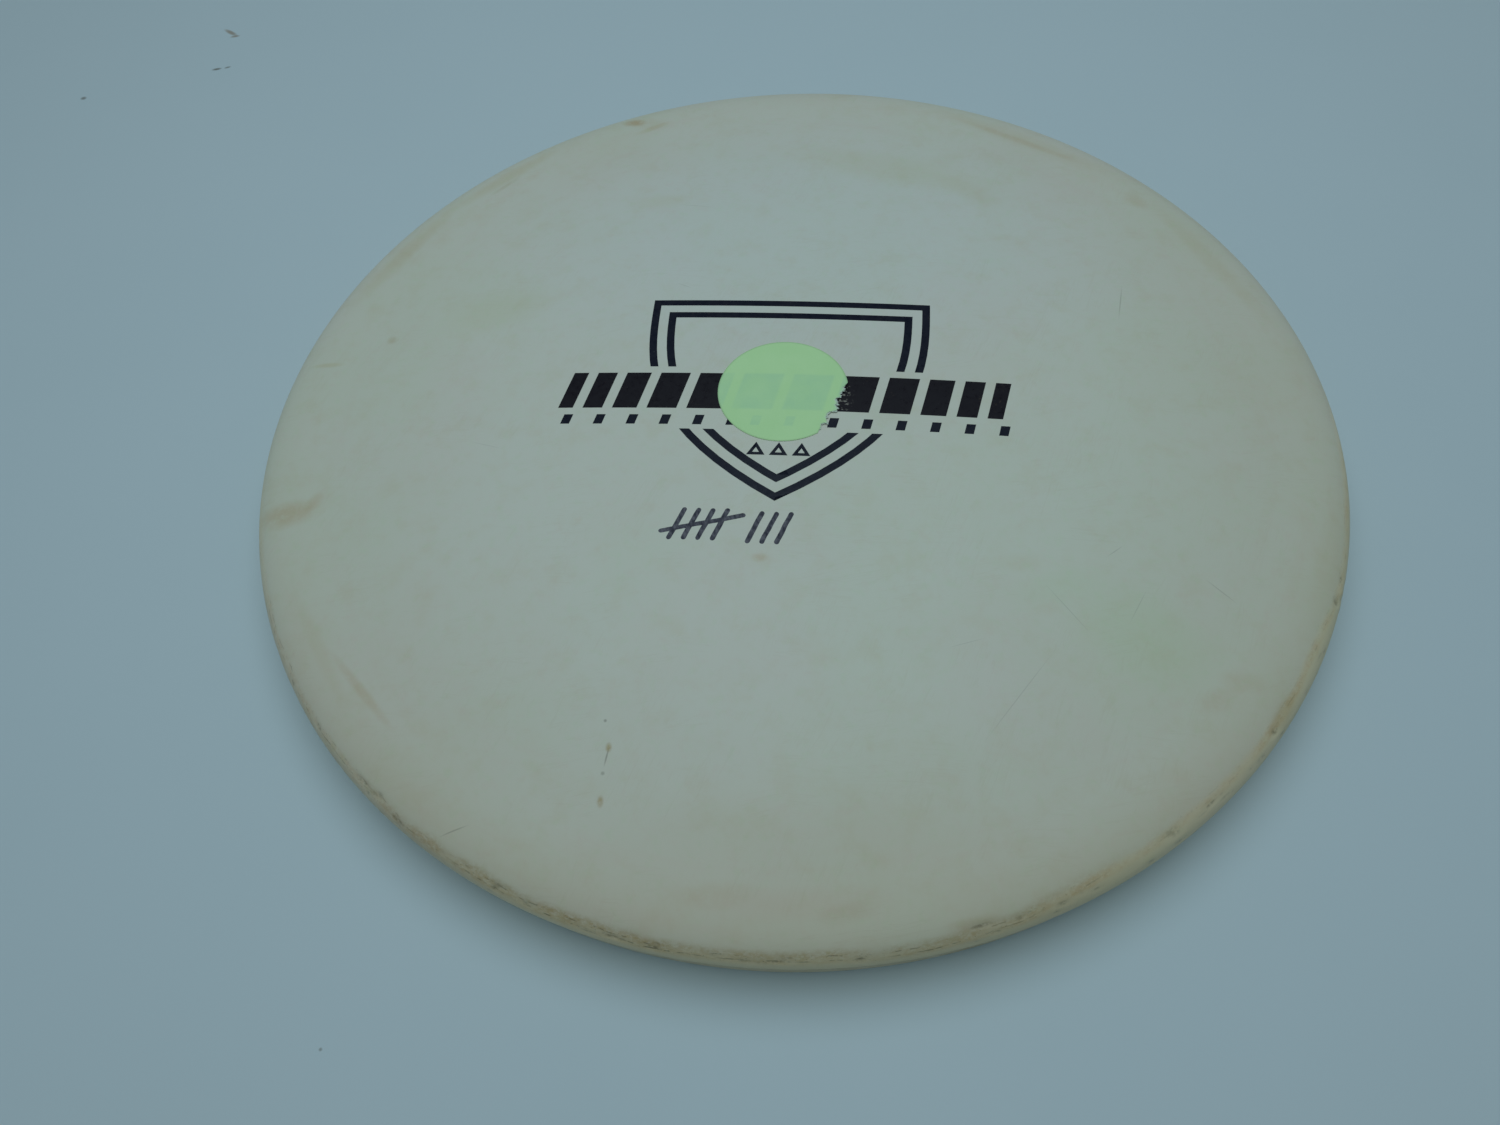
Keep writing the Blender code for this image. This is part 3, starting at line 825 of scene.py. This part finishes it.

# Stains on the top, and one darker tint there that is partly painted shade: place, half length and half
# width, direction in degrees, colour and strength.
STAINS = (
    (-99.4, -20.4, 6.2, 3.0, 3, RUST, 0.58),
    (-94.2, -18.2, 2.6, 1.6, 62, RUST, 0.36),
    (-98.5, 18.6, 3.6, 0.7, -5, TAN, 0.80),
    (-85.0, 24.0, 1.3, 1.1, 0, EARTH, 0.30),
    (-77.8, -60.0, 9.5, 0.9, -49, RUST, 0.38),
    (-87.5, -50.5, 13.0, 1.4, -60, TAN, 0.35),
    (-36.3, 96.2, 2.8, 1.6, -10, RUST, 0.80),
    (-33.5, 95.4, 6.5, 2.6, -18, RUST, 0.20),
    (-31.5, 93.0, 4.6, 1.0, 28, TAN, 0.75),
    (-87.0, 52.5, 17.0, 2.4, 59, TAN, 0.60),
    (-84.0, 56.0, 9.0, 1.6, 56, RUST, 0.10),
    (-66.0, 77.5, 14.0, 2.1, 41, TAN, 0.70),
    (-66.0, 74.0, 4.0, 0.6, 44, EARTH, 0.25),
    (55.5, 82.6, 15.0, 1.1, -34, RUST, 0.30),
    (57.0, 82.0, 22.0, 2.8, -35, TAN, 0.45),
    (79.5, 59.0, 3.4, 2.0, -54, RUST, 0.22),
    (91.5, 40.0, 20.0, 2.4, -66, TAN, 0.40),
    (24.0, 71.5, 25.0, 6.0, -19, OLIVE, 0.50),
    (42.0, 62.0, 8.0, 3.0, -40, TAN, 0.35),
    (-62.0, 30.0, 12.0, 6.0, 15, OLIVE, 0.40),
    (-28.0, 62.5, 6.0, 2.5, 0, OLIVE, 0.40),
    (-32.6, -73.2, 0.55, 0.85, 0, EARTH, 0.85),
    (-32.9, -74.9, 0.16, 1.5, -12, GRIME, 0.45),
    (-33.4, -77.7, 0.35, 0.35, 0, GRIME, 0.35),
    (-33.4, -68.4, 0.30, 0.30, 0, GRIME, 0.45),
    (-33.6, -82.5, 0.55, 1.0, 0, EARTH, 0.75),
    (-6.6, -37.8, 1.5, 0.9, 0, RUST, 0.50),
    (70.0, -67.0, 3.4, 2.0, 25, RUST, 0.26),
    (76.0, -63.4, 4.2, 2.0, -10, RUST, 0.20),
    (96.5, -40.0, 16.0, 2.6, 67, TAN, 0.25),
    (81.7, -68.5, 4.8, 1.2, 50, EARTH, 0.44),
    (-14.0, -98.2, 6.0, 2.2, 3, RUST, 0.24),
    (-1.0, -99.8, 14.0, 2.6, 1, PINKISH, 0.80),
    (6.0, -101.4, 4.4, 1.6, 10, EARTH, 0.18),
    (25.9, -103.1, 4.5, 1.0, 10, EARTH, 0.30),
    (60.0, -55.0, 13.0, 9.0, -35, GREENISH, 0.75),
    (46.0, -45.0, 9.0, 3.5, 15, GREENISH, 0.50),
    (40.0, -40.0, 5.0, 2.0, 0, TAN, 0.30),
    (-70.0, -5.0, 22.0, 12.0, 80, PINKISH, 0.30),
    # Partly painted shade: a broad darker tint over the near side of the top.
    (-2.0, -92.0, 36.0, 11.0, 0, WORN_AND_SHADE, 0.50),
)

# Hair-thin dark lines: place, half length, half width, direction in degrees and strength.
HAIRLINES = (
    (-58.0, -86.2, 2.3, 0.13, 17, 0.34),
    (69.6, 25.0, 4.6, 0.14, 76, 0.26),
    (37.0, -66.0, 9.5, 0.10, 50, 0.16),
    (47.5, -49.5, 5.5, 0.10, -56, 0.18),
    (57.7, -37.7, 1.8, 0.10, 35, 0.22),
    (75.4, -45.8, 3.0, 0.12, -46, 0.24),
    (60.0, -49.0, 3.6, 0.10, 58, 0.16),
    (-60.5, -8.0, 3.2, 0.09, -20, 0.15),
    (-22.0, 33.0, 1.6, 0.10, -30, 0.20),
    (29.0, -56.0, 3.0, 0.09, 15, 0.15),
    (-20.0, 60.0, 4.0, 0.09, -12, 0.15),
)


def add_clouds_and_sheen(shader):
    """Cream, with a painted bluish sheen on the far part, and faint clouds of colour."""
    # Painted reflection: the far part is mixed towards a bluer cream.
    colour = shader.mix(shader.spot(*FAR_SHEEN_PART), CREAM, SHEEN_CREAM)
    for size, detail, roughness, low, high, strength, turn, tone in CLOUDS:
        cloud = shader.noise(size, detail, roughness, shader.turned(turn))
        colour = shader.tint(shader.rise(cloud, low, high, strength), colour, tone)
    return colour


def add_handling_and_shade(shader, colour, along, topside):
    """Darker outwards, more on the near right side, partly wear and partly painted shade, with faint
    streaks that run round.
    """
    handled_and_shaded = shader.maths("ADD", shader.product(shader.facing(*HANDLED_AND_SHADED_SIDE), 0.55), 0.45)
    outwards = shader.product(shader.rise(shader.radius, 50.0, 110.0), handled_and_shaded, topside)
    # Partly painted shade: the top is tinted darker outwards and on the near shoulder.
    colour = shader.tint(outwards, colour, WORN_AND_SHADE)
    skirt = shader.product(shader.rise(along, -16.0, -5.0), shader.facing(*SKIRT_SIDE), topside)
    colour = shader.tint(shader.product(skirt, 0.80), colour, WORN_AND_SHADE)
    streaky = shader.rise(shader.noise(4.0, 4.0, 0.6, shader.around(14.0)), 0.46, 0.72)
    ring = shader.band(shader.radius, 96.0, 6.0, 14.0)
    return shader.tint(shader.product(ring, streaky, topside, 0.34), colour, PINKISH)


def add_stains(shader, colour, topside):
    ragged_mark = shader.rise(shader.noise(1.6, 4.0, 0.7), 0.10, 0.60)
    for x, y, length, width, degrees, stain, strength in STAINS:
        mark = shader.product(shader.spot(x, y, length, width, degrees), topside, strength)
        if stain in (EARTH, RUST):
            mark = shader.product(mark, ragged_mark)
        colour = shader.tint(mark, colour, stain)
    for x, y, length, width, degrees, strength in HAIRLINES:
        line = shader.product(shader.spot(x, y, length, width, degrees), topside, strength)
        colour = shader.mix(line, colour, GRIME)
    return colour


def add_ground_in_dirt_and_glow(shader, colour, along):
    """Earth along the nose: a soft smear, the scuffed strip of the wall (lightened in part by painted
    light), and fine broken lines.

    Levels are millimetres down the profile from the nose. Gives the colour and the smear.
    """
    worn_side = shader.facing(*WORN_SIDE)
    left_side = shader.facing(*LEFT_SIDE)
    right_side = shader.facing(*RIGHT_SIDE)
    raised = along
    for azimuth, full, fade, lift in DIRT_RISES:
        here = shader.product(shader.facing(azimuth, full, fade), lift)
        raised = shader.maths("ADD", here, raised)
    wander = shader.maths("SUBTRACT", shader.noise(9.0, 4.0), 0.5)
    level = shader.maths("ADD", raised, shader.maths("MULTIPLY", wander, 1.5))
    drawn_out = shader.scaled(shader.place, (1.0, 1.0, 2.2))
    coarse = shader.rise(shader.noise(7.0, 3.0, 0.6, drawn_out), 0.25, 0.62)
    dusty = shader.rise(shader.noise(1.1, 5.0, 0.75, drawn_out), 0.26, 0.62)
    dusty = shader.product(dusty, shader.maths("ADD", shader.product(coarse, 0.7), 0.3))

    # The soft smear, and its weaker end on the left.
    smear = shader.product(shader.rise(level, -4.3, -2.7), shader.rise(level, -0.7, -1.7), dusty)
    colour = shader.tint(shader.product(smear, worn_side, 0.84), colour, EARTH)
    edge = shader.product(shader.rise(level, -3.4, -2.2), shader.rise(level, 1.5, -0.5), dusty)
    colour = shader.tint(shader.product(edge, left_side, 0.48), colour, RUST)

    # The wall strip below the dirt line, mixed towards a lighter khaki: partly its scuffed colour,
    # partly painted light glowing through the plastic. Fainter at both sides.
    wall = shader.product(shader.rise(level, -3.4, -1.5), shader.rise(along, 10.0, 5.0))
    khaki_and_glow = shader.maths("SUBTRACT", 0.50, shader.product(left_side, 0.40))
    khaki_and_glow = shader.maths("SUBTRACT", khaki_and_glow, shader.product(right_side, 0.18))
    colour = shader.mix(shader.product(wall, khaki_and_glow), colour, KHAKI)
    colour = shader.tint(shader.product(wall, right_side, 0.62), colour, TAN)
    colour = shader.tint(shader.product(wall, worn_side, 0.24), colour, EARTH)
    brim = shader.product(shader.band(level, -1.9, 0.20, 0.90), dusty, coarse)
    colour = shader.tint(shader.product(brim, right_side, 0.50), colour, RUST)

    # The fine lines and specks.
    dark_side = shader.maths("MAXIMUM", worn_side, shader.product(left_side, 0.5))
    dark_side = shader.maths("MAXIMUM", dark_side, shader.product(right_side, 0.2))
    amount = shader.maths("ADD", shader.product(dark_side, 0.88), 0.12)
    thread = shader.band(level, -1.85, 0.04, 0.14)
    broken = shader.rise(shader.noise(3.0, 4.0, 0.65), 0.46, 0.60)
    colour = shader.mix(shader.product(thread, broken, amount, coarse, 0.72), colour, GRIME)
    second = shader.band(level, -2.7, 0.02, 0.12)
    broken = shader.rise(shader.noise(2.6, 3.0, 0.6), 0.54, 0.62)
    colour = shader.mix(shader.product(second, broken, dark_side, 0.55), colour, GRIME)
    specks = shader.rise(shader.noise(0.5, 2.0, 0.5, drawn_out), 0.66, 0.72)
    near_line = shader.band(level, -2.1, 0.5, 1.0)
    colour = shader.mix(shader.product(specks, near_line, amount, 0.50), colour, GRIME)
    return colour, smear


def add_dust(shader, colour, along, topside, nick):
    """Grey dust low on the outer wall, dirt in the nicks, and dust in the underside's corner."""
    low_wall = shader.rise(along, 3.0, 9.0)
    dust = shader.product(low_wall, topside, shader.rise(shader.noise(4.0, 4.0), 0.3, 0.7))
    colour = shader.tint(shader.product(dust, 0.30), colour, DUST)
    deep = shader.rise(nick, 0.15, 0.8)
    filled = shader.product(deep, shader.rise(shader.noise(0.8, 3.0), 0.30, 0.6))
    colour = shader.mix(shader.product(filled, 0.55), colour, GRIME)
    corner = shader.product(shader.rise(along, 20.0, 26.0), shader.rise(along, 48.0, 32.0))
    patchy = shader.rise(shader.noise(16.0, 5.0, 0.62), 0.42, 0.68)
    return shader.tint(shader.product(corner, patchy, 0.28), colour, EARTH)


def plastic_material():
    """Cream plastic, mottled and stained, with earth ground into the rim, and painted shade, sheen and
    light in parts.
    """
    shader = Shader("worn_cream_plastic", 0.48, 0.42)
    colour = add_clouds_and_sheen(shader)
    along = shader.attribute("along")
    topside = shader.rise(along, 12.0, 9.0)
    colour = add_handling_and_shade(shader, colour, along, topside)
    colour = add_stains(shader, colour, topside)
    colour, smear = add_ground_in_dirt_and_glow(shader, colour, along)
    nick = shader.attribute("nick")
    colour = add_dust(shader, colour, along, topside, nick)
    fine = scratches(shader, 1.3, 14.0, 0.020, 0.42, 5)
    colour = shader.tint(shader.product(fine, 0.16), colour, SCRATCHED)

    grain = shader.noise(0.22, 2.0, 0.5)
    waves = shader.noise(9.0, 2.0, 0.5)
    height = shader.maths("ADD", shader.product(grain, 0.10), shader.product(waves, 0.9))
    height = shader.maths("SUBTRACT", height, shader.product(fine, 0.12))
    height = shader.maths("SUBTRACT", height, shader.product(nick, shader.noise(0.5, 3.0), 0.6))
    shader.bump(height, 0.05 * MM)
    rough = shader.maths("ADD", 0.44, shader.product(shader.noise(14.0, 4.0), 0.16))
    rough = shader.maths("ADD", rough, shader.product(smear, 0.25), clamp=True)
    return shader.finish(colour, rough)


# The foil's colours, from its film to the plastic that shows where it is gone.
FOIL_BLACK = (0.0040, 0.0060, 0.0170, 1.0)
FOIL_BLUE = (0.0085, 0.0105, 0.0210, 1.0)
FOIL_BROWN = (0.0105, 0.0065, 0.0085, 1.0)
FOIL_RUBBED = (0.085, 0.060, 0.040, 1.0)
FOIL_PINHOLE = (0.46, 0.43, 0.36, 1.0)
FOIL_SCRAPED = (0.50, 0.46, 0.38, 1.0)

# The row of bars on the stamp: how far up its middle lies, and how far the marks lean.
BARS_UP = 0.65
BARS_LEAN = math.radians(12)

# The foil scraped by the label's torn side: place from the label's centre, size and direction.
SCRAPE_PLACE = (11.6, -3.0)
SCRAPE_SIZE = (1.9, 4.6)
SCRAPE_DEGREES = -10


def foil_material():
    """Hot-stamped black foil: a satin film with pinholes and rubbed specks, browner on the bars."""
    shader = Shader("black_hot_stamp_foil", 0.42, 0.22)
    cloud = shader.rise(shader.noise(3.0, 3.0), 0.35, 0.7)
    colour = shader.mix(cloud, FOIL_BLACK, FOIL_BLUE)
    _, up = shader.on_stamp()
    bars = shader.band(up, BARS_UP, 4.7, 0.3)
    colour = shader.mix(shader.product(bars, 0.8), colour, FOIL_BROWN)
    rubbed = shader.rise(shader.noise(0.55, 3.0, 0.6), 0.60, 0.72)
    here = shader.rise(shader.noise(9.0, 2.0), 0.50, 0.68)
    colour = shader.mix(shader.product(rubbed, here, 0.55), colour, FOIL_RUBBED)
    pinholes = shader.rise(shader.noise(0.30, 2.0, 0.5), 0.79, 0.83)
    colour = shader.mix(shader.product(pinholes, 0.7), colour, FOIL_PINHOLE)
    x = LABEL_CENTRE.x / MM + SCRAPE_PLACE[0]
    y = LABEL_CENTRE.y / MM + SCRAPE_PLACE[1]
    near_label = shader.spot(x, y, *SCRAPE_SIZE, SCRAPE_DEGREES)
    scraped = shader.product(near_label, shader.rise(shader.noise(0.8, 4.0, 0.7), 0.54, 0.62))
    colour = shader.mix(shader.product(scraped, 0.6), colour, FOIL_SCRAPED)
    shader.bump(shader.noise(0.35, 3.0), 0.003 * MM)
    return shader.finish(colour, shader.rise(shader.noise(1.2, 4.0), -0.4, 1.6, 0.84))


INK_DARK = (0.026, 0.025, 0.042, 1.0)
INK_THIN = (0.150, 0.140, 0.160, 1.0)


def ink_material():
    """Dry marker ink, thinner in streaks."""
    shader = Shader("marker_pen_ink", 0.6, 0.35)
    drawn_out = shader.scaled(shader.place, (1.0, 0.5, 1.0), 0.4)
    streaks = shader.rise(shader.noise(0.7, 4.0, 0.65, drawn_out), 0.36, 0.74)
    colour = shader.mix(streaks, INK_DARK, INK_THIN)
    shader.bump(shader.noise(0.3, 2.0), 0.004 * MM)
    return shader.finish(colour, shader.rise(shader.noise(0.9, 3.0), 0.0, 1.0, 0.9))


LABEL_GREEN = (0.608, 0.915, 0.445, 1.0)
LABEL_PALE = (0.66, 0.95, 0.49, 1.0)
LABEL_FIBRE = (0.85, 0.9, 0.8, 1.0)
LABEL_BARE = (0.78, 0.86, 0.74, 1.0)
UNDER_PAPER = (0.50, 0.80, 0.47, 1.0)
CORE_DARK = (0.56, 0.63, 0.53, 1.0)
CORE_PALE = (0.72, 0.76, 0.66, 1.0)


def stamp_below(shader):
    """1 where the stamp's bars and dashes lie below the label, with soft edges."""
    across, up = shader.on_stamp()
    lean = shader.maths("MULTIPLY", shader.maths("SUBTRACT", up, BARS_UP), -math.tan(BARS_LEAN))
    upright = shader.maths("ABSOLUTE", shader.maths("ADD", across, lean))
    bar_rows = shader.band(up, BARS_UP, 4.25, 0.8)
    inner_bar = shader.band(upright, 5.0, 3.6, 0.8)
    outer_bar = shader.band(upright, 14.5, 3.3, 0.5)
    bars = shader.product(bar_rows, shader.maths("MAXIMUM", inner_bar, outer_bar))
    dash_rows = shader.band(up, -6.9, 1.0, 0.4)
    dashes = shader.product(dash_rows, shader.band(upright, 3.3, 0.7, 0.4))
    return shader.maths("MAXIMUM", bars, dashes)


def label_material():
    """Thin green paper. The foil below shows through it faintly, more where it is pressed down."""
    shader = Shader("green_dot_paper", 0.78, 0.25)
    pale = shader.rise(shader.noise(5.0, 3.0), 0.3, 0.7, 0.5)
    colour = shader.mix(pale, LABEL_GREEN, LABEL_PALE)
    pressed = shader.rise(shader.noise(4.0, 3.0), 0.30, 0.70, 0.30)
    seen = shader.product(stamp_below(shader), shader.maths("ADD", pressed, 0.30))
    colour = shader.mix(seen, colour, UNDER_PAPER)
    fibres = shader.noise(0.45, 4.0, 0.7)
    colour = shader.tint(shader.rise(fibres, 0.50, 0.75, 0.12), colour, LABEL_FIBRE)
    torn = shader.rise(shader.attribute("torn"), 0.2, 0.8)
    bare = shader.product(torn, shader.rise(shader.noise(0.7, 3.0), 0.35, 0.65))
    colour = shader.mix(shader.product(bare, 0.7), colour, LABEL_BARE)
    relief = shader.maths("ADD", fibres, shader.product(shader.noise(2.4, 2.0), 2.0))
    shader.bump(relief, 0.012 * MM)
    return shader.finish(colour)


def torn_core_material():
    """The paper's white core, left stuck down where the printed face tore away."""
    shader = Shader("torn_paper_core", 0.85, 0.2)
    fibres = shader.noise(0.35, 4.0, 0.7)
    colour = shader.mix(shader.rise(fibres, 0.35, 0.7), CORE_DARK, CORE_PALE)
    shader.bump(fibres, 0.03 * MM)
    return shader.finish(colour)


TABLE_DARK = (0.608, 0.708, 0.722, 1.0)
TABLE_PALE = (0.638, 0.732, 0.746, 1.0)


# Crumbs of dirt on the table, in the same form as the stains.
TABLE_CRUMBS = (
    (-160.6, 167.0, 2.6, 0.7, -38, (0.34, 0.25, 0.16, 1.0), 0.75),
    (-158.9, 165.0, 1.3, 0.5, 10, (0.30, 0.22, 0.14, 1.0), 0.70),
    (-160.6, 149.4, 1.3, 0.5, 12, GRIME, 0.75),
    (-157.6, 150.0, 0.9, 0.4, 20, GRIME, 0.60),
    (-196.3, 138.8, 0.8, 0.7, 0, GRIME, 0.65),
    (-79.5, -117.1, 0.3, 0.3, 0, GRIME, 0.50),
)


def table_material():
    """A smooth pale table with a slight unevenness in tone."""
    shader = Shader("pale_table", 0.5, 0.3)
    colour = shader.mix(shader.noise(60.0, 3.0), TABLE_DARK, TABLE_PALE)
    for x, y, length, width, degrees, stain, strength in TABLE_CRUMBS:
        crumb = shader.product(shader.spot(x, y, length, width, degrees), strength)
        colour = shader.mix(crumb, colour, stain)
    return shader.finish(colour)


# ---------------------------------------------------------------- table, light and camera

TABLE_HALF_WIDTH = 0.9
TABLE_SQUARES = 8
TABLE_DROP = 0.1 * MM


def make_table():
    mesh = bpy.data.meshes.new("table")
    with editing(mesh) as work:
        bmesh.ops.create_grid(
            work, x_segments=TABLE_SQUARES, y_segments=TABLE_SQUARES, size=TABLE_HALF_WIDTH
        )
    table = bpy.data.objects.new("table", mesh)
    table.location.z = -TABLE_DROP

    table.location.z = -0.1 * MM
    mesh.materials.append(table_material())
    bpy.context.scene.collection.objects.link(table)


def hang_light(name, kind, place, aim, power, **settings):
    light = bpy.data.lights.new(name, kind)
    light.energy = power
    light.color = LIGHT_COLOUR
    for setting, value in settings.items():
        setattr(light, setting, value)
    lamp = bpy.data.objects.new(name, light)
    lamp.location = place
    lamp.rotation_mode = "QUATERNION"
    lamp.rotation_quaternion = (Vector(aim) - Vector(place)).to_track_quat("-Z", "Y")
    lamp.visible_camera = False
    bpy.context.scene.collection.objects.link(lamp)


def make_light():
    """An even dim room, a wide soft light overhead, and a pool of light that fades outwards."""
    world = bpy.data.worlds.new("even_room")
    world.use_nodes = True
    background = world.node_tree.nodes["Background"]
    background.inputs["Color"].default_value = (*LIGHT_COLOUR, 1.0)
    background.inputs["Strength"].default_value = ROOM_LIGHT
    bpy.context.scene.world = world
    hang_light(
        "ceiling_light", "AREA", CEILING_PLACE, (0.0, 0.0, 0.0), CEILING_POWER,
        shape="DISK", size=CEILING_SIZE,
    )
    hang_light(
        "pool_light", "SPOT", POOL_PLACE, POOL_AIM, POOL_POWER,
        spot_size=POOL_SPREAD, spot_blend=1.0, shadow_soft_size=POOL_SOFTNESS,
    )
    bpy.context.scene.view_settings.view_transform = "Standard"


def make_camera():
    data = bpy.data.cameras.new("camera")
    data.lens = CAMERA_LENS
    data.clip_start = 0.01
    camera = bpy.data.objects.new("camera", data)
    away = Vector((0.0, -math.cos(CAMERA_ELEVATION), math.sin(CAMERA_ELEVATION))) * CAMERA_DISTANCE
    camera.location = away
    aim = (CAMERA_AIM - away).to_track_quat("-Z", "Y")
    camera.rotation_mode = "QUATERNION"
    camera.rotation_quaternion = aim @ Quaternion((0.0, 0.0, 1.0), CAMERA_ROLL)
    bpy.context.scene.collection.objects.link(camera)
    bpy.context.scene.camera = camera


make_camera()
make_moulding()
make_stamp_and_ink()
make_label()
make_table()
make_light()
